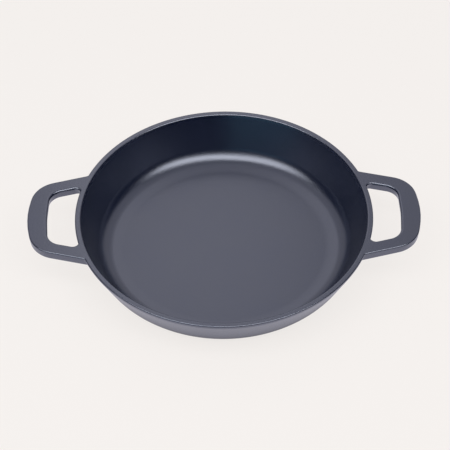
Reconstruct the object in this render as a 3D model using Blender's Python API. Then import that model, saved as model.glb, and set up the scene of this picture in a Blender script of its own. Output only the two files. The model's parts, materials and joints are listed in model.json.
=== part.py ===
# Shallow cast iron pan with two loop handles, enamelled inside and out.
# Metres, +Z up. The origin is the centre of the underside, and the handles point along X.
import math

import bmesh
import bpy
from mathutils import Matrix, Vector

# Rim and wall, measured over the enamel
RIM_DIAMETER = 0.260
RIM_WIDTH = 0.0046
RIM_BAND_HEIGHT = 0.0022
RIM_OUTER_EDGE_RADIUS = 0.0011
RIM_INNER_EDGE_RADIUS = 0.0015
PAN_HEIGHT = 0.043
WALL_LEAN = math.radians(25.7)

# Inside of the bowl
FLOOR_THICKNESS = 0.0042
INSIDE_CORNER_RADIUS = 0.0195

# Underside
BASE_EDGE_RADIUS = 0.0237
FOOT_RING_WIDTH = 0.007
BASE_RECESS_DEPTH = 0.0008
BASE_RECESS_RUN = 0.002

# Enamel coats and the hairline between them and the iron
INSIDE_COAT_THICKNESS = 0.0004
OUTSIDE_COAT_THICKNESS = 0.0004
BOND_GAP = 0.0003
INSIDE_COAT_DROP = 0.0025
OUTSIDE_COAT_LIFT = 0.0006

# Loop handles, level with the rim
HANDLE_LENGTH = 0.0414
HANDLE_THICKNESS = 0.008
HANDLE_EDGE_RADIUS = 0.0011
HANDLE_ROOT_WIDTH = 0.1013
HANDLE_END_WIDTH = 0.0764
HANDLE_END_RADIUS = 0.097
HANDLE_END_LEAN = math.radians(12)
HANDLE_CORNER_RADIUS = 0.0272
HANDLE_ARM_WIDTH = 0.0121
HANDLE_BAR_WIDTH = 0.0169
OPENING_END_RADIUS = 0.127
OPENING_END_LEAN = math.radians(3)
OPENING_CORNER_RADIUS = 0.014
ROOT_FILLET_RADIUS = 0.0045
SEAT_GAP = 0.0003

# Fineness of the facets
TURNED_STEPS = 80
ARC_SAG = 0.00005
LEAST_ARC_STEPS = 2
EDGE_SEGMENTS = 3
BEVELLED_ANGLE = math.radians(60)
SMOOTHED_ANGLE = math.radians(35)

# How far the hidden points of the handle's outline and of its opening lie inside the bowl, where
# the seat cuts them off, how much longer than the root fillet its foot is, and how far from the
# rim the handle's lower edge follows the wall's lean
ROOT_LAP = 0.0006
OUTLINE_ROOT_DEPTH = 0.03
OPENING_ROOT_DEPTH = 0.02
FILLET_FOOT = 1.1
ROOT_DRAFT_REACH = 0.003

RIM_RADIUS = RIM_DIAMETER / 2
ROOT_RADIUS = RIM_RADIUS - ROOT_LAP
WALL_SLOPE = math.tan(WALL_LEAN)
BAND_BOTTOM = PAN_HEIGHT - RIM_BAND_HEIGHT
INSIDE_LEDGE = PAN_HEIGHT - INSIDE_COAT_DROP
INSIDE_BACKING = INSIDE_COAT_THICKNESS + BOND_GAP
OUTSIDE_BACKING = OUTSIDE_COAT_THICKNESS + BOND_GAP
MERGE_DISTANCE = 0.000001


def clear_scene():
    for old in list(bpy.data.objects):
        bpy.data.objects.remove(old, do_unlink=True)


def finish(name, colour, roughness, metallic):
    material = bpy.data.materials.new(name)
    material.use_nodes = True
    shader = material.node_tree.nodes["Principled BSDF"]
    shader.inputs["Base Color"].default_value = (*colour, 1)
    shader.inputs["Roughness"].default_value = roughness
    shader.inputs["Metallic"].default_value = metallic
    return material


def bowl_iron():
    return finish("bowl_iron", (0.075, 0.078, 0.095), 0.45, 0.3)


def handle_iron(side):
    return finish(side + "_handle_iron", (0.085, 0.088, 0.105), 0.45, 0.3)


def inside_enamel():
    return finish("inside_enamel", (0.03, 0.045, 0.065), 0.35, 0)


def outside_enamel():
    return finish("outside_enamel", (0.12, 0.12, 0.15), 0.38, 0)


# A rounded corner may use all of an edge that ends at a sharp one, and half of any other
def room_beside(edge, neighbour):
    return edge.length / 2 if neighbour[2] > 0 else edge.length


# A corner is (across, up, radius). Its arc gets as many steps as keep each chord within the sag,
# and is limited by the edges beside it.
def corner_arc(before, corner, after):
    point = Vector(corner[:2])
    radius = corner[2]
    back = Vector(before[:2]) - point
    ahead = Vector(after[:2]) - point
    if radius <= 0:
        return [point]
    half = back.angle(ahead) / 2
    run = min(radius / math.tan(half), room_beside(back, before), room_beside(ahead, after))
    radius = run * math.tan(half)
    centre = point + (back.normalized() + ahead.normalized()).normalized() * radius / math.sin(half)
    start = point + back.normalized() * run - centre
    turn = start.angle_signed(point + ahead.normalized() * run - centre)
    step_turn = 2 * math.acos(1 - min(1, ARC_SAG / radius))
    steps = max(LEAST_ARC_STEPS, math.ceil(abs(turn) / step_turn))
    return [centre + Matrix.Rotation(-turn * step / steps, 2) @ start for step in range(steps + 1)]


def rounded(corners, closed):
    outline = []
    last = len(corners) - 1
    for index, corner in enumerate(corners):
        at_end = not closed and index in (0, last)
        if at_end:
            outline.append(Vector(corner[:2]))
        else:
            outline += corner_arc(corners[index - 1], corner, corners[(index + 1) % (last + 1)])
    return outline


def new_object(name, shape, material):
    mesh = bpy.data.meshes.new(name)
    bmesh.ops.remove_doubles(shape, verts=shape.verts, dist=MERGE_DISTANCE)
    bmesh.ops.recalc_face_normals(shape, faces=shape.faces)
    shape.to_mesh(mesh)
    shape.free()
    mesh.shade_smooth()
    mesh.set_sharp_from_angle(angle=SMOOTHED_ANGLE)
    thing = bpy.data.objects.new(name, mesh)
    bpy.context.scene.collection.objects.link(thing)
    if material:
        mesh.materials.append(material)
    return thing


def turned(name, corners, material, ring=False):
    shape = bmesh.new()
    points = [shape.verts.new((x, 0, z)) for x, z in rounded(corners, ring)]
    edges = [shape.edges.new(pair) for pair in zip(points, points[1:])]
    if ring:
        edges.append(shape.edges.new((points[-1], points[0])))
    bmesh.ops.spin(shape, geom=points + edges, cent=(0, 0, 0), axis=(0, 0, 1), dvec=(0, 0, 0),
                   angle=math.tau, steps=TURNED_STEPS, use_merge=True)
    return new_object(name, shape, material)


def hide_as_cutter(thing):
    thing.hide_render = True
    thing.display_type = "WIRE"
    return thing


def cut(thing, cutter):
    modifier = thing.modifiers.new("cut_" + cutter.name, "BOOLEAN")
    modifier.operation = "DIFFERENCE"
    modifier.solver = "EXACT"
    modifier.object = cutter


# The wall leans, so a layer set back square to it moves sideways by more than its thickness
def outside_radius(height, set_back=0):
    return RIM_RADIUS - WALL_SLOPE * (BAND_BOTTOM - height) - set_back / math.cos(WALL_LEAN)


def inside_radius(height, set_back=0):
    return RIM_RADIUS - RIM_WIDTH - WALL_SLOPE * (PAN_HEIGHT - height) + set_back / math.cos(WALL_LEAN)


# The inside surface from the centre of the floor to a height on the wall
def inside_corners(top, set_back=0):
    floor = FLOOR_THICKNESS - set_back
    return [
        (0, floor, 0),
        (inside_radius(floor, set_back), floor, INSIDE_CORNER_RADIUS + set_back),
        (inside_radius(top, set_back), top, 0),
    ]


def base_edge_run():
    return BASE_EDGE_RADIUS / math.tan((math.pi / 2 + WALL_LEAN) / 2)


def outside_ledge():
    return base_edge_run() * math.cos(WALL_LEAN) + OUTSIDE_COAT_LIFT


def make_bowl(material):
    rim_inside = RIM_RADIUS - RIM_WIDTH
    ledge = outside_ledge()
    base_corner = outside_radius(0)
    foot_inside = base_corner - base_edge_run() - FOOT_RING_WIDTH
    corners = inside_corners(INSIDE_LEDGE, INSIDE_BACKING) + [
        (inside_radius(INSIDE_LEDGE), INSIDE_LEDGE, 0),
        (rim_inside, PAN_HEIGHT, RIM_INNER_EDGE_RADIUS),
        (RIM_RADIUS, PAN_HEIGHT, RIM_OUTER_EDGE_RADIUS),
        (RIM_RADIUS, BAND_BOTTOM, 0),
        (outside_radius(BAND_BOTTOM, OUTSIDE_BACKING), BAND_BOTTOM, 0),
        (outside_radius(ledge, OUTSIDE_BACKING), ledge, 0),
        (outside_radius(ledge), ledge, 0),
        (base_corner, 0, BASE_EDGE_RADIUS),
        (foot_inside, 0, 0),
        (foot_inside - BASE_RECESS_RUN, BASE_RECESS_DEPTH, 0),
        (0, BASE_RECESS_DEPTH, 0),
    ]
    return turned("bowl", corners, material)


def make_inside_coat(material):
    top = INSIDE_LEDGE - BOND_GAP
    back = inside_corners(top, INSIDE_COAT_THICKNESS)
    return turned("interior_enamel", inside_corners(top) + back[::-1], material)


def make_outside_coat(material):
    top = BAND_BOTTOM - BOND_GAP
    bottom = outside_ledge() + BOND_GAP
    corners = [
        (outside_radius(top), top, 0),
        (outside_radius(bottom), bottom, 0),
        (outside_radius(bottom, OUTSIDE_COAT_THICKNESS), bottom, 0),
        (outside_radius(top, OUTSIDE_COAT_THICKNESS), top, 0),
    ]
    return turned("exterior_enamel", corners, material, ring=True)


# The iron's own outside, grown by the seat's gap: what a handle's root is cut to fit
def make_seat_cutter():
    below_band = BAND_BOTTOM - SEAT_GAP
    set_back = OUTSIDE_BACKING - SEAT_GAP
    corners = [
        (0, PAN_HEIGHT + SEAT_GAP, 0),
        (RIM_RADIUS + SEAT_GAP, PAN_HEIGHT + SEAT_GAP, RIM_OUTER_EDGE_RADIUS + SEAT_GAP),
        (RIM_RADIUS + SEAT_GAP, below_band, 0),
        (outside_radius(below_band, set_back), below_band, 0),
        (outside_radius(0, set_back), 0, 0),
        (0, 0, 0),
    ]
    return hide_as_cutter(turned("handle_seat", corners, None))


def on_circle(radius, angle):
    return Vector((math.cos(angle), math.sin(angle))) * radius


# The end's arc is a rounded corner between two lines that lean in from the handle's axis
def tip_reach(reach, radius, lean):
    return reach + radius * (1 / math.cos(lean) - 1)


# The handle's straight side runs from the rim to its end corner. Moved sideways, the same line
# gives the opening's side.
def side_line(shift):
    root = on_circle(ROOT_RADIUS, math.asin(HANDLE_ROOT_WIDTH / 2 / ROOT_RADIUS))
    half_end = HANDLE_END_WIDTH / 2
    tip = tip_reach(RIM_RADIUS + HANDLE_LENGTH, HANDLE_END_RADIUS, HANDLE_END_LEAN)
    corner = Vector((tip - half_end * math.tan(HANDLE_END_LEAN), half_end))
    along = (corner - root).normalized()
    outward = Vector((-along.y, along.x))
    return root + outward * shift, along


# Where that line meets a circle about the pan's axis, as an angle
def root_angle(shift, radius):
    point, along = side_line(shift)
    nearest = point - along * point.dot(along)
    meeting = nearest + along * math.sqrt(radius ** 2 - nearest.length_squared)
    return math.atan2(meeting.y, meeting.x)


# Where it meets the leaning line of the end, whose tip is on the handle's axis
def side_end(shift, tip, lean):
    point, along = side_line(shift)
    run = (tip - point.x - point.y * math.tan(lean)) / (along.x + along.y * math.tan(lean))
    return point + along * run


# Past the root's corner the points follow the rim's circle for as long as the fillet needs, and
# then go in towards the pan's axis. way is 1 for the handle's outline and -1 for its opening.
def root_corners(shift, way, growth, depth):
    fillet = ROOT_FILLET_RADIUS - growth
    circle = ROOT_RADIUS + growth
    angle = root_angle(shift, circle)
    around = on_circle(way, angle + math.pi / 2)
    foot = FILLET_FOOT * fillet / math.tan(side_line(shift)[1].angle(around) / 2) + 2 * growth
    hidden = angle + way * foot / circle
    return [
        (*on_circle(circle - depth, hidden), 0),
        (*on_circle(circle, hidden), 0),
        (*on_circle(circle, angle), fillet),
    ]


# A closed outline from its upper half, whose corners run from the root to the end, and its tip
def mirrored(upper, tip):
    lower = [(x, -y, radius) for x, y, radius in upper]
    return rounded(lower + [tip] + upper[::-1], True)


def handle_outline(growth):
    tip = tip_reach(RIM_RADIUS + HANDLE_LENGTH + growth, HANDLE_END_RADIUS, HANDLE_END_LEAN)
    corner = (*side_end(growth, tip, HANDLE_END_LEAN), HANDLE_CORNER_RADIUS)
    root = root_corners(growth, 1, growth, OUTLINE_ROOT_DEPTH)
    return mirrored(root + [corner], (tip, 0, HANDLE_END_RADIUS))


def opening_outline(growth):
    shift = -HANDLE_ARM_WIDTH - growth
    reach = RIM_RADIUS + HANDLE_LENGTH - HANDLE_BAR_WIDTH - growth
    tip = tip_reach(reach, OPENING_END_RADIUS, OPENING_END_LEAN)
    corner = (*side_end(shift, tip, OPENING_END_LEAN), OPENING_CORNER_RADIUS)
    root = root_corners(shift, -1, growth, OPENING_ROOT_DEPTH)
    return mirrored(root + [corner], (tip, 0, OPENING_END_RADIUS))


# The wall leans away under the rim, and a root's lower edge goes in with it
def draw_in(points, growth):
    share_of_lean = 1 - outside_radius(PAN_HEIGHT - HANDLE_THICKNESS) / RIM_RADIUS
    for point in points:
        from_root = max(0, point.co.xy.length - ROOT_RADIUS - growth)
        point.co.xy *= 1 - share_of_lean * max(0, 1 - from_root / ROOT_DRAFT_REACH)


# growth is 0 for the handle, and the seat's gap for what clears a place for it
def handle_plate(growth):
    shape = bmesh.new()
    loops = []
    for outline in (handle_outline(growth), opening_outline(growth)):
        points = [shape.verts.new((x, y, growth)) for x, y in outline]
        loops += [shape.edges.new(pair) for pair in zip(points, points[1:] + points[:1])]
    bmesh.ops.bridge_loops(shape, edges=loops)
    top = list(shape.faces)
    extruded = bmesh.ops.extrude_face_region(shape, geom=top, use_keep_orig=True)
    lower = [item for item in extruded["geom"] if isinstance(item, bmesh.types.BMVert)]
    bmesh.ops.translate(shape, verts=lower, vec=(0, 0, -HANDLE_THICKNESS - 2 * growth))
    draw_in(lower, growth)
    return shape


def round_edges(thing):
    bevel = thing.modifiers.new("round_edges", "BEVEL")
    bevel.width = HANDLE_EDGE_RADIUS
    bevel.segments = EDGE_SEGMENTS
    bevel.limit_method = "ANGLE"
    bevel.angle_limit = BEVELLED_ANGLE


def place_handle(thing, pan, turn):
    thing.parent = pan
    thing.location = (0, 0, PAN_HEIGHT)
    thing.rotation_euler = (0, 0, turn)


def make_handle(side, turn, pan, seat):
    handle = new_object(side + "_handle", handle_plate(0), handle_iron(side))
    place_handle(handle, pan, turn)
    round_edges(handle)
    cut(handle, seat)


# The outside coat stops short of each handle's root
def notch_coat(coat, side, turn, pan):
    cutter = hide_as_cutter(new_object(side + "_notch", handle_plate(SEAT_GAP), None))
    place_handle(cutter, pan, turn)
    cut(coat, cutter)


def build_pan():
    clear_scene()
    pan = bpy.data.objects.new("pan", None)
    bpy.context.scene.collection.objects.link(pan)
    bowl = make_bowl(bowl_iron())
    inside_coat = make_inside_coat(inside_enamel())
    outside_coat = make_outside_coat(outside_enamel())
    seat = make_seat_cutter()
    for thing in (bowl, inside_coat, outside_coat, seat):
        thing.parent = pan
    for side, turn in (("right", 0), ("left", math.pi)):
        make_handle(side, turn, pan, seat)
        notch_coat(outside_coat, side, turn, pan)


build_pan()
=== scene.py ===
import json
import math
import bpy
from mathutils import Matrix, Vector

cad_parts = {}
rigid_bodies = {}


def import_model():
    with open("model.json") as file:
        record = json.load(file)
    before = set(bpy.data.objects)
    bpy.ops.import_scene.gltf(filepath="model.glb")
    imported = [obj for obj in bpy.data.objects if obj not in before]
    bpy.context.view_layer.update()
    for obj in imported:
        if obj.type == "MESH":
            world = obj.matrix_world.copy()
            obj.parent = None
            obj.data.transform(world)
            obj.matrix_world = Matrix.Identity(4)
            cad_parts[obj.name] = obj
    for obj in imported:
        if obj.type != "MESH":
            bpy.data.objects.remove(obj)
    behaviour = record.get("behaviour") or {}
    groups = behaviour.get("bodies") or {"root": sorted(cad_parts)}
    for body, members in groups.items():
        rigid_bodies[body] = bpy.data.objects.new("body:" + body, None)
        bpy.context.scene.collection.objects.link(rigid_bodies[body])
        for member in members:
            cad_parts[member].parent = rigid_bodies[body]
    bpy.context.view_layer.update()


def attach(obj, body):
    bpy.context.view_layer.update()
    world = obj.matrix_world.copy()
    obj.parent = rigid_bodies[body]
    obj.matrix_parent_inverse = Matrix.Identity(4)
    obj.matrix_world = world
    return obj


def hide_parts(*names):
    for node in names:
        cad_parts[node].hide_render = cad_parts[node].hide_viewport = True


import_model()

# A shallow round pan, cast in one piece with its two loop handles and enamelled all over.
# Metres, +Z up, origin under the middle of the pan, handles along X.


# small helpers

mergeDistance = 0.000001      # metres, also how exactly a level is compared
seedSize = 0.001              # a path's first vertex starts as a small plane, merged


def selectNothing():
    if bpy.context.mode != "OBJECT":
        bpy.ops.object.mode_set(mode="OBJECT")
    bpy.ops.object.select_all(action="DESELECT")


def workOn(piece):
    selectNothing()
    piece.select_set(True)
    bpy.context.view_layer.objects.active = piece


# selects edges or faces by a test, and leaves the piece in edit mode
def pick(piece, kind, test):
    workOn(piece)
    bpy.ops.object.mode_set(mode="EDIT")
    bpy.ops.mesh.select_mode(type=kind)
    bpy.ops.mesh.select_all(action="DESELECT")
    bpy.ops.object.mode_set(mode="OBJECT")
    items = piece.data.edges if kind == "EDGE" else piece.data.polygons
    for item in items:
        item.select = test(item)
    bpy.ops.object.mode_set(mode="EDIT")


def applyModifier(piece, kind, **settings):
    workOn(piece)
    modifier = piece.modifiers.new(kind.lower(), kind)
    for name, value in settings.items():
        setattr(modifier, name, value)
    bpy.ops.object.modifier_apply(modifier=modifier.name)


# a profile stands in XZ and a plan lies in XY: both are drawn as (across, up, corner radius)
def inSpace(point, upright, level):
    if upright:
        return Vector((point[0], 0, point[1]))
    return Vector((point[0], point[1], level))


# where a rounded corner starts, the middle of its arc and how far it turns
def cornerArc(before, corner, after):
    point = Vector(corner[:2])
    back = (Vector(before[:2]) - point).normalized()
    ahead = (Vector(after[:2]) - point).normalized()
    half = back.angle(ahead) / 2
    run = corner[2] / math.tan(half)
    centre = point + (back + ahead).normalized() * corner[2] / math.sin(half)
    turn = math.pi - 2 * half
    if back.cross(ahead) > 0:
        turn = -turn
    return point + back * run, centre, turn


# draws a line through the corners, vertex by vertex, and turns an arc at each rounded one
def drawPath(name, corners, arcStep, upright=False, level=0, closed=False):
    selectNothing()
    bpy.ops.mesh.primitive_plane_add(size=seedSize, location=inSpace(corners[0], upright, level))
    piece = bpy.context.object
    piece.name = piece.data.name = name
    bpy.ops.object.transform_apply(location=True)
    bpy.ops.object.mode_set(mode="EDIT")
    bpy.ops.mesh.select_all(action="SELECT")
    bpy.ops.mesh.merge(type="CENTER")
    here = inSpace(corners[0], upright, level)
    count = len(corners)
    stops = list(range(1, count)) + ([0] if closed else [])
    for index in stops:
        corner = corners[index]
        start = Vector(corner[:2])
        if corner[2] > 0:
            after = corners[(index + 1) % count]
            start, centre, turn = cornerArc(corners[index - 1], corner, after)
        there = inSpace(start, upright, level)
        bpy.ops.mesh.extrude_region_move(TRANSFORM_OT_translate={"value": there - here})
        here = there
        if corner[2] > 0:
            steps = max(2, round(abs(turn) / arcStep))
            bpy.ops.mesh.spin(steps=steps, angle=turn, center=inSpace(centre, upright, level),
                              axis=(0, 1, 0) if upright else (0, 0, -1))
            end = centre + Matrix.Rotation(turn, 2) @ (start - centre)
            here = inSpace(end, upright, level)
    bpy.ops.mesh.select_all(action="SELECT")
    bpy.ops.mesh.remove_doubles(threshold=mergeDistance)
    return piece


# the casting: bowl

bowlSizes = {
    "rimRadius": 0.130,
    "rimWidth": 0.0046,
    "height": 0.043,
    "bandHeight": 0.0022,         # the rim's outer band, above the wall's own lean
    "bandTaper": 0.0008,          # how far above its foot the band starts to lean in
    "bandEdge": 0.0008,
    "outerEdge": 0.001,
    "innerEdge": 0.0016,
    "wallLean": math.radians(25.7),
    "floorHeight": 0.0042,
    "insideCorner": 0.0175,
    "floorEdge": 0.0133,          # how far before that corner the floor turns up gently
    "floorEdgeRadius": 0.07,
    "floorEdgeRise": 0.002,
    "baseEdge": 0.0237,
    "footWidth": 0.007,
    "footEdge": 0.0006,
    "recessDepth": 0.0008,
    "recessRun": 0.002,
    "recessEdge": 0.0012,
    "coatInsideTop": 0.0402,      # where the two enamel coats end
    "coatOutsideTop": 0.0396,
    "coatOutsideBottom": 0.0142,
    "arcStep": math.radians(4.5),
    "turns": 256,
}


# a profile turned about Z: out along the floor, up the inside, over the rim and down to the foot
def makeBowl(sizes):
    slope = math.tan(sizes["wallLean"])
    rim = sizes["rimRadius"]
    top = sizes["height"]
    floor = sizes["floorHeight"]
    mouth = rim - sizes["rimWidth"]
    bandBottom = top - sizes["bandHeight"]
    baseCorner = rim - slope * bandBottom

    def onInside(height, radius=0):
        return (mouth - slope * (top - height), height, radius)

    def onOutside(height):
        return (baseCorner + slope * height, height, 0)

    floorEdge = onInside(floor)[0] - sizes["floorEdge"]
    baseAngle = math.pi / 2 + sizes["wallLean"]
    footOuter = baseCorner - sizes["baseEdge"] / math.tan(baseAngle / 2)
    footInner = footOuter - sizes["footWidth"]
    bowl = drawPath("panCasting", [
        (0, floor, 0),
        (floorEdge, floor, sizes["floorEdgeRadius"]),
        onInside(floor + sizes["floorEdgeRise"], sizes["insideCorner"]),
        onInside(sizes["coatInsideTop"]),
        (mouth, top, sizes["innerEdge"]),
        (rim, top, sizes["outerEdge"]),
        (rim, bandBottom + sizes["bandTaper"], sizes["bandEdge"]),
        onOutside(sizes["coatOutsideTop"]),
        onOutside(sizes["coatOutsideBottom"]),
        (baseCorner, 0, sizes["baseEdge"]),
        (footInner, 0, sizes["footEdge"]),
        (footInner - sizes["recessRun"], sizes["recessDepth"], sizes["recessEdge"]),
        (0, sizes["recessDepth"], 0),
    ], sizes["arcStep"], upright=True)
    bpy.ops.mesh.spin(steps=sizes["turns"], angle=math.tau, center=(0, 0, 0), axis=(0, 0, 1))
    bpy.ops.mesh.select_all(action="SELECT")
    bpy.ops.mesh.remove_doubles(threshold=mergeDistance)
    bpy.ops.mesh.normals_make_consistent(inside=False)
    bpy.ops.object.mode_set(mode="OBJECT")
    return bowl


# the casting: loop handles

handleSizes = {
    "rootCircle": 0.1299,         # just inside the rim, so the roots' fillets run out on it
    "rootPoint": (0.11914, 0.05067),
    "endPoint": (0.16595, 0.0383),
    "tip": 0.1737,
    "tipRadius": 0.1,
    "endRadius": 0.0257,
    "armWidth": 0.0126,
    "openingTip": 0.15395,
    "openingTipRadius": 0.127,
    "openingLean": math.radians(3),
    "openingCorner": 0.0127,
    "rootFillet": 0.0045,
    "rootOverlap": 0.0005,        # how far the roots run on past their fillets, inside the rim
    "hiddenCircle": 0.1266,       # where they end, under its flat top
    "lowerCircles": (0.1266, 0.1235),     # the same two circles at the underside's height
    "rootMargin": 0.00004,        # edges that run further than this inside a root circle stay sharp
    "thickness": 0.009,
    "draft": 0.0011,              # how far the underside's outline lies inside the top's
    "edge": 0.0014,
    "lowerEdge": 0.0014,
    "openingEdge": 0.0024,        # the rounder upper edge that fingers go over
    "openingReach": 0.004,        # how far past its tip an edge still counts as the opening's
    "edgeSteps": 5,
    "arcStep": math.radians(5),
}


# where the line from a point, along a direction, meets a circle about the pan's middle
def meetCircle(point, along, radius):
    nearest = point - along * point.dot(along)
    return nearest + along * math.sqrt(radius ** 2 - nearest.length_squared)


# a root's three corners: under the rim, on the rim's circle, and the fillet beside the arm
def rootCorners(point, along, sizes, way):
    circle = sizes["rootCircle"]
    meeting = meetCircle(point, along, circle)
    angle = math.atan2(meeting.y, meeting.x)
    around = Vector((-math.sin(angle), math.cos(angle))) * way
    foot = sizes["rootFillet"] / math.tan(along.angle(around) / 2) + sizes["rootOverlap"]
    hidden = angle + way * foot / circle
    toHidden = Vector((math.cos(hidden), math.sin(hidden)))
    return [
        (*(toHidden * sizes["hiddenCircle"]), 0),
        (*(toHidden * circle), 0),
        (*meeting, sizes["rootFillet"]),
    ]


# the outline from above: round the outside from root to root, and back round the opening
def handlePlan(sizes):
    root = Vector(sizes["rootPoint"])
    along = (Vector(sizes["endPoint"]) - root).normalized()
    inner = root + Vector((along.y, -along.x)) * sizes["armWidth"]
    lean = math.tan(sizes["openingLean"])
    run = (sizes["openingTip"] - inner.x - inner.y * lean) / (along.x + along.y * lean)
    openingEnd = inner + along * run
    outside = rootCorners(root, along, sizes, 1) + [(*sizes["endPoint"], sizes["endRadius"])]
    opening = rootCorners(inner, along, sizes, -1) + [(*openingEnd, sizes["openingCorner"])]
    mirrored = [[(x, -y, radius) for x, y, radius in half] for half in (outside, opening)]
    tip = (sizes["tip"], 0, sizes["tipRadius"])
    openingTip = (sizes["openingTip"], 0, sizes["openingTipRadius"])
    return outside + [tip] + mirrored[0][::-1] + mirrored[1] + [openingTip] + opening[::-1]


# the outline of the underside: it lies a little inside the top's, because the sides are drafted so
# that the casting leaves its mould, and its roots follow the bowl's leaning wall
def underside(sizes):
    draft = sizes["draft"]
    root, end = Vector(sizes["rootPoint"]), Vector(sizes["endPoint"])
    along = (end - root).normalized()
    across = (Vector((sizes["tip"], 0)) - end).normalized()
    inward = (across - along).normalized()
    lower = dict(sizes)
    lower["rootPoint"] = root + Vector((along.y, -along.x)) * draft
    lower["endPoint"] = end + inward * draft / math.sin(across.angle(-along) / 2)
    lower["tip"] += draft / across.y
    lower["openingTip"] += draft
    lower["armWidth"] -= 2 * draft
    for name in ("tipRadius", "endRadius"):
        lower[name] -= draft
    for name in ("openingTipRadius", "openingCorner", "rootFillet"):
        lower[name] += draft
    lower["rootCircle"], lower["hiddenCircle"] = sizes["lowerCircles"]
    return lower


# the right handle: its two outlines are bridged, closed and then rounded
def makeHandle(sizes, top):
    bottom = top - sizes["thickness"]
    handle = drawPath("handle", handlePlan(sizes), sizes["arcStep"], level=top, closed=True)
    lowerOutline = drawPath("underside", handlePlan(underside(sizes)), sizes["arcStep"],
                            level=bottom, closed=True)
    workOn(handle)
    lowerOutline.select_set(True)
    bpy.ops.object.join()
    bpy.ops.object.mode_set(mode="EDIT")
    bpy.ops.mesh.select_all(action="SELECT")
    bpy.ops.mesh.bridge_edge_loops()

    def endsOf(edge):
        return [handle.data.vertices[index].co for index in edge.vertices]

    def isLevel(point, level):
        return abs(point.z - level) < mergeDistance

    for level in (top, bottom):
        pick(handle, "EDGE", lambda edge: all(isLevel(end, level) for end in endsOf(edge)))
        bpy.ops.mesh.edge_face_add()
    bpy.ops.mesh.select_all(action="SELECT")
    bpy.ops.mesh.normals_make_consistent(inside=False)

    # the opening's edges lie past the arms' middle line, and short of a line inside the bar
    root, end = Vector(sizes["rootPoint"]), Vector(sizes["endPoint"])
    along = (end - root).normalized()
    inwards = Vector((along.y, -along.x))

    def besideOpening(point):
        depth = (Vector((point.x, abs(point.y))) - root).dot(inwards)
        barLine = sizes["openingTip"] + sizes["openingReach"]
        return depth > sizes["armWidth"] / 2 and point.x < barLine

    circles = {top: sizes["rootCircle"], bottom: sizes["lowerCircles"][0]}

    def onOutline(point, level):
        return isLevel(point, level) and point.xy.length > circles[level] - sizes["rootMargin"]

    tests = {
        "openingEdge": lambda point: onOutline(point, top) and besideOpening(point),
        "edge": lambda point: onOutline(point, top) and not besideOpening(point),
        "lowerEdge": lambda point: onOutline(point, bottom),
    }
    for name, test in tests.items():
        pick(handle, "EDGE", lambda edge: all(test(end) for end in endsOf(edge)))
        bpy.ops.mesh.bevel(offset=sizes[name], segments=sizes["edgeSteps"])
    bpy.ops.object.mode_set(mode="OBJECT")
    return handle


# the left handle is the right one turned half round, and both grow into the bowl
def joinCasting(bowl, handle):
    workOn(handle)
    bpy.ops.object.duplicate()
    opposite = bpy.context.object
    opposite.rotation_euler = (0, 0, math.pi)
    bpy.ops.object.transform_apply(rotation=True)
    for loop in (handle, opposite):
        applyModifier(bowl, "BOOLEAN", operation="UNION", solver="EXACT", object=loop)
        bpy.data.objects.remove(loop)


bowl = makeBowl(bowlSizes)
handle = makeHandle(handleSizes, bowlSizes["height"])
joinCasting(bowl, handle)
print("casting", len(bowl.data.polygons), "faces")


# the two enamel coats, flush with the casting

coatSizes = {
    "thickness": 0.0004,
    "slack": 0.0001,              # how far a face's middle may lie off the floor's level
    "leastRise": 0.2,             # the least upward part of the normal of a face inside
    "leastOutwards": 0.8,         # the least outward part of the normal of a face on the wall
    "leanSlack": 0.01,            # and how far its downward part may be off the wall's
}


def outwards(face):
    return face.normal.xy.dot(face.center.xy)


def insideFace(face):
    floor, mouth = bowlSizes["floorHeight"], bowlSizes["rimRadius"] - bowlSizes["rimWidth"]
    facesIn = outwards(face) < coatSizes["slack"] and face.normal.z > coatSizes["leastRise"]
    onHeight = floor - coatSizes["slack"] < face.center.z < bowlSizes["coatInsideTop"]
    return facesIn and onHeight and face.center.xy.length < mouth


def outsideFace(face):
    lean = math.sin(bowlSizes["wallLean"])
    facesOut = outwards(face) > coatSizes["leastOutwards"] * face.center.xy.length
    onWall = abs(face.normal.z + lean) < coatSizes["leanSlack"]
    onHeight = bowlSizes["coatOutsideBottom"] < face.center.z < bowlSizes["coatOutsideTop"]
    return facesOut and onWall and onHeight


# the coat is a copy of the faces that it covers, and the iron under it is set back to make room
def takeCoat(casting, name, test):
    before = set(bpy.data.objects)
    pick(casting, "FACE", test)
    bpy.ops.mesh.duplicate()
    bpy.ops.mesh.separate(type="SELECTED")
    bpy.ops.object.mode_set(mode="OBJECT")
    coat = [thing for thing in bpy.data.objects if thing not in before][0]
    coat.name = coat.data.name = name
    applyModifier(coat, "SOLIDIFY", thickness=coatSizes["thickness"], offset=-1,
                  use_even_offset=True)
    pick(casting, "FACE", test)
    bpy.ops.mesh.inset(thickness=0, depth=-coatSizes["thickness"], use_even_offset=True)
    bpy.ops.object.mode_set(mode="OBJECT")
    return coat


interior = takeCoat(bowl, "interiorEnamel", insideFace)
exterior = takeCoat(bowl, "exteriorEnamel", outsideFace)


smoothAngle = math.radians(35)


# smooth across the rounded edges, with the normals of the flat tops kept flat
def shade(piece):
    workOn(piece)
    bpy.ops.object.shade_smooth_by_angle(angle=smoothAngle)
    applyModifier(piece, "WEIGHTED_NORMAL", keep_sharp=True)


for piece in (bowl, interior, exterior):
    shade(piece)
    print(piece.name, len(piece.data.polygons), "faces")


# finishes

# an sRGB colour, written as hex, in the linear values that shaders take
def linear(hexColour):
    channels = [int(hexColour[start:start + 2], 16) / 255 for start in (1, 3, 5)]
    return (*(c / 12.92 if c <= 0.04045 else ((c + 0.055) / 1.055) ** 2.4 for c in channels), 1)


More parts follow.
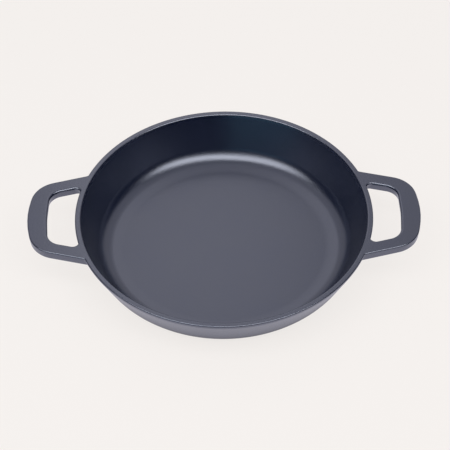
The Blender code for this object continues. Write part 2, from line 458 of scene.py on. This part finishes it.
# adds a node with its input values, its settings, and links from other nodes' outputs
def node(tree, kind, values=None, links=None, **settings):
    new = tree.nodes.new(kind)
    for name, value in settings.items():
        setattr(new, name, value)
    for name, value in (values or {}).items():
        new.inputs[name].default_value = value
    for name, output in (links or {}).items():
        tree.links.new(output, new.inputs[name])
    return new


def newMaterial(name):
    material = bpy.data.materials.new(name)
    material.use_nodes = True
    material.node_tree.nodes.clear()
    return material, material.node_tree


# Vitreous enamel, sprayed and fired on cast iron: a deep blue-black glass with a fine orange peel,
# so it mirrors a softbox as a broad soft sheen and is nearly black elsewhere. The inside is matt,
# and the outside and the rim are a little smoother. The IORs are matched to how bright each sheen
# is. Real orange peel is under half a millimetre, and finer than a pixel: it is drawn coarser.
enamel = {
    "deep": "#030A1C",
    "pale": "#060F26",
    "sheen": "#E9EEFF",           # its reflections are a little blue
    "mattRoughness": 0.29,
    "satinRoughness": 0.25,
    "roughnessSpread": 0.04,
    "mattIor": 2.05,
    "satinIor": 2.2,
    "patterns": {                 # metres from crest to crest, and how many finer layers
        "peel": (0.0018, 2),
        "grain": (0.0007, 1),
        "clouds": (0.03, 3),
    },
    "grainShare": 0.4,            # the grain's height beside the peel's
    "bumpHeight": 0.00005,
}


def vitreousEnamel(name, look, roughness, ior):
    material, tree = newMaterial(name)
    place = node(tree, "ShaderNodeTexCoord").outputs["Object"]
    pattern = {}
    for kind, (size, detail) in look["patterns"].items():
        noise = node(tree, "ShaderNodeTexNoise", {"Scale": 1 / size, "Detail": detail},
                     {"Vector": place})
        pattern[kind] = noise.outputs["Fac"]
    relief = node(tree, "ShaderNodeMath", {1: look["grainShare"]},
                  {0: pattern["grain"], 2: pattern["peel"]}, operation="MULTIPLY_ADD")
    bump = node(tree, "ShaderNodeBump", {"Distance": look["bumpHeight"]},
                {"Height": relief.outputs[0]})
    colour = node(tree, "ShaderNodeMix", {"A": linear(look["deep"]), "B": linear(look["pale"])},
                  {"Factor": pattern["clouds"]}, data_type="RGBA")
    rough = node(tree, "ShaderNodeMapRange", {
        "To Min": roughness - look["roughnessSpread"] / 2,
        "To Max": roughness + look["roughnessSpread"] / 2,
    }, {"Value": pattern["clouds"]})
    shader = node(tree, "ShaderNodeBsdfPrincipled", {
        "IOR": ior,
        "Specular Tint": linear(look["sheen"]),
    }, {
        "Base Color": colour.outputs["Result"],
        "Roughness": rough.outputs["Result"],
        "Normal": bump.outputs["Normal"],
    })
    node(tree, "ShaderNodeOutputMaterial", None, {"Surface": shader.outputs["BSDF"]})
    return material


satinEnamel = vitreousEnamel("satinEnamel", enamel, enamel["satinRoughness"], enamel["satinIor"])
mattEnamel = vitreousEnamel("mattEnamel", enamel, enamel["mattRoughness"], enamel["mattIor"])


def dress(piece, material, slot, *nodes):
    piece.data.materials.clear()
    piece.data.materials.append(material)
    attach(piece, "root")
    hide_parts(*nodes)


dress(bowl, satinEnamel, "bowl_iron", "bowl", "left_handle", "right_handle")
dress(interior, mattEnamel, "interior_enamel", "interior_enamel")
dress(exterior, satinEnamel, "exterior_enamel", "exterior_enamel")
print("finishes ready")


# floor, light and camera

studio = {
    "paper": "#F3EFEC",
    "mirroredPaper": "#F6F3FF",   # what the pan's outer wall mirrors
    "paperSize": 12,
    "paperGap": 0.0001,           # so that it does not share a plane with the foot ring
    "shownShadow": 0.09,          # how much of the paper's own shading the camera sees
    "mirroredShadow": 0.08,       # and how much of it the pan mirrors
    "contactShadeReach": 0.01,         # within this of the pan, painted shade darkens the paper that the pan mirrors
    "contactShadeSamples": 8,
    "surroundings": "#121020",    # the unlit room
}


# white paper under soft light: most of its brightness is a plain glow, so it stays pale and even,
# and a share of real shading keeps the pan's shadow on it. The glow that the pan mirrors has
# painted shade: it is darker where the pan nearly touches the paper
def makeFloor():
    selectNothing()
    bpy.ops.mesh.primitive_plane_add(size=studio["paperSize"],
                                     location=(0, 0, -studio["paperGap"]))
    floor = bpy.context.object
    floor.name = "floor"
    material, tree = newMaterial("palePaper")
    path = node(tree, "ShaderNodeLightPath").outputs
    paper = node(tree, "ShaderNodeBsdfDiffuse", {"Color": linear(studio["paper"])})
    colour = node(tree, "ShaderNodeMix", {
        "A": linear(studio["paper"]),
        "B": linear(studio["mirroredPaper"]),
    }, {"Factor": path["Is Glossy Ray"]}, data_type="RGBA")
    # painted shade: near the pan, ambient occlusion darkens the glow that glossy rays see
    contact = node(tree, "ShaderNodeAmbientOcclusion", {"Distance": studio["contactShadeReach"]},
                   samples=studio["contactShadeSamples"])
    strength = node(tree, "ShaderNodeMix", {"A": 1.0},
                    {"Factor": path["Is Glossy Ray"], "B": contact.outputs["AO"]})
    glow = node(tree, "ShaderNodeEmission", None,
                {"Color": colour.outputs["Result"], "Strength": strength.outputs["Result"]})
    shown = node(tree, "ShaderNodeMath", {1: 1 - studio["shownShadow"]},
                 {0: path["Is Camera Ray"]}, operation="MULTIPLY")
    share = node(tree, "ShaderNodeMath", {1: 1 - studio["mirroredShadow"]},
                 {0: path["Is Glossy Ray"], 2: shown.outputs[0]}, operation="MULTIPLY_ADD")
    mixed = node(tree, "ShaderNodeMixShader", None, {"Fac": share.outputs[0]})
    tree.links.new(paper.outputs["BSDF"], mixed.inputs[1])
    tree.links.new(glow.outputs["Emission"], mixed.inputs[2])
    node(tree, "ShaderNodeOutputMaterial", None, {"Surface": mixed.outputs["Shader"]})
    floor.data.materials.append(material)


# the room is dark, and only the camera sees it as pale as the paper
def makeWorld():
    world = bpy.data.worlds.new("studio")
    bpy.context.scene.world = world
    world.use_nodes = True
    tree = world.node_tree
    tree.nodes.clear()
    path = node(tree, "ShaderNodeLightPath").outputs
    dark = node(tree, "ShaderNodeBackground", {"Color": linear(studio["surroundings"])})
    pale = node(tree, "ShaderNodeBackground", {"Color": linear(studio["paper"])})
    mixed = node(tree, "ShaderNodeMixShader", None, {"Fac": path["Is Camera Ray"]})
    tree.links.new(dark.outputs[0], mixed.inputs[1])
    tree.links.new(pale.outputs[0], mixed.inputs[2])
    node(tree, "ShaderNodeOutputWorld", None, {"Surface": mixed.outputs[0]})


# each softbox: degrees to the right, degrees up from the horizon behind the pan and over the top,
# distance, size across and along, and how bright its cloth is, where 1 is evenly lit white paper
softboxes = {
    "overheadLeft": {
        "side": -23, "up": 107.5, "distance": 1.6, "size": (1.45, 0.75),
        "brightness": 3.2, "colour": "#FFFFFF",
    },
    "overheadRight": {
        "side": 21, "up": 113.5, "distance": 1.6, "size": (1.25, 0.62),
        "brightness": 3.6, "colour": "#FFFFFF",
    },
    "overheadSkirt": {            # the dimmer cloth round the two overhead boxes
        "side": 0, "up": 113.5, "distance": 1.65, "size": (2.5, 1.3),
        "brightness": 1.55, "colour": "#FFFFFF",
    },
    "behind": {                   # what the pan's floor and the flat tops mirror
        "side": -1, "up": 42, "distance": 2.0, "size": (4.8, 3.3),
        "brightness": 0.64, "colour": "#FFFCFF",
    },
    "behindCore": {               # its brighter middle
        "side": -3, "up": 47, "distance": 0.9, "size": (0.34, 0.34),
        "brightness": 0.62, "colour": "#FFFCFF",
    },
    "frontFill": {                # a faint bluish light on the back wall
        "side": -30, "up": 166, "distance": 1.6, "size": (1.5, 0.7),
        "brightness": 0.3, "colour": "#A8E8FF",
    },
}


def makeSoftbox(name, box):
    turned = (Matrix.Rotation(math.radians(box["up"] - 90), 3, "X")
              @ Matrix.Rotation(math.radians(box["side"]), 3, "Y"))
    selectNothing()
    bpy.ops.object.light_add(type="AREA", location=turned @ Vector((0, 0, box["distance"])))
    lamp = bpy.context.object
    lamp.name = lamp.data.name = name
    lamp.rotation_euler = turned.to_euler()
    lamp.data.shape = "RECTANGLE"
    lamp.data.size, lamp.data.size_y = box["size"]
    lamp.data.color = linear(box["colour"])[:3]
    # a box's cloth shines evenly, so its power grows with its area
    lamp.data.energy = math.pi * box["size"][0] * box["size"][1] * box["brightness"]


# the camera looks down at the pan from in front, through a long lens: degrees and metres
view = {
    "target": (0.00074, -0.01313, 0.043),
    "azimuth": -0.124,
    "elevation": 46.55,
    "roll": -0.892,
    "distance": 1.95,
    "focalPixels": 2247.0,
    "framePixels": 450,
    "sensor": 36,                 # millimetres
}


def makeCamera():
    azimuth, elevation = math.radians(view["azimuth"]), math.radians(view["elevation"])
    across = math.cos(elevation)
    way = Vector((math.sin(azimuth) * across, -math.cos(azimuth) * across, math.sin(elevation)))
    data = bpy.data.cameras.new("camera")
    data.sensor_width = view["sensor"]
    data.lens = view["focalPixels"] / view["framePixels"] * view["sensor"]
    camera = bpy.data.objects.new("camera", data)
    bpy.context.scene.collection.objects.link(camera)
    camera.location = Vector(view["target"]) + way * view["distance"]
    level = (-way).to_track_quat("-Z", "Y").to_matrix()
    turned = level @ Matrix.Rotation(math.radians(view["roll"]), 3, "Z")
    camera.rotation_euler = turned.to_euler()
    bpy.context.scene.camera = camera


makeFloor()
makeWorld()
for name, box in softboxes.items():
    makeSoftbox(name, box)
makeCamera()
bpy.context.scene.view_settings.view_transform = "Standard"
print("studio ready")
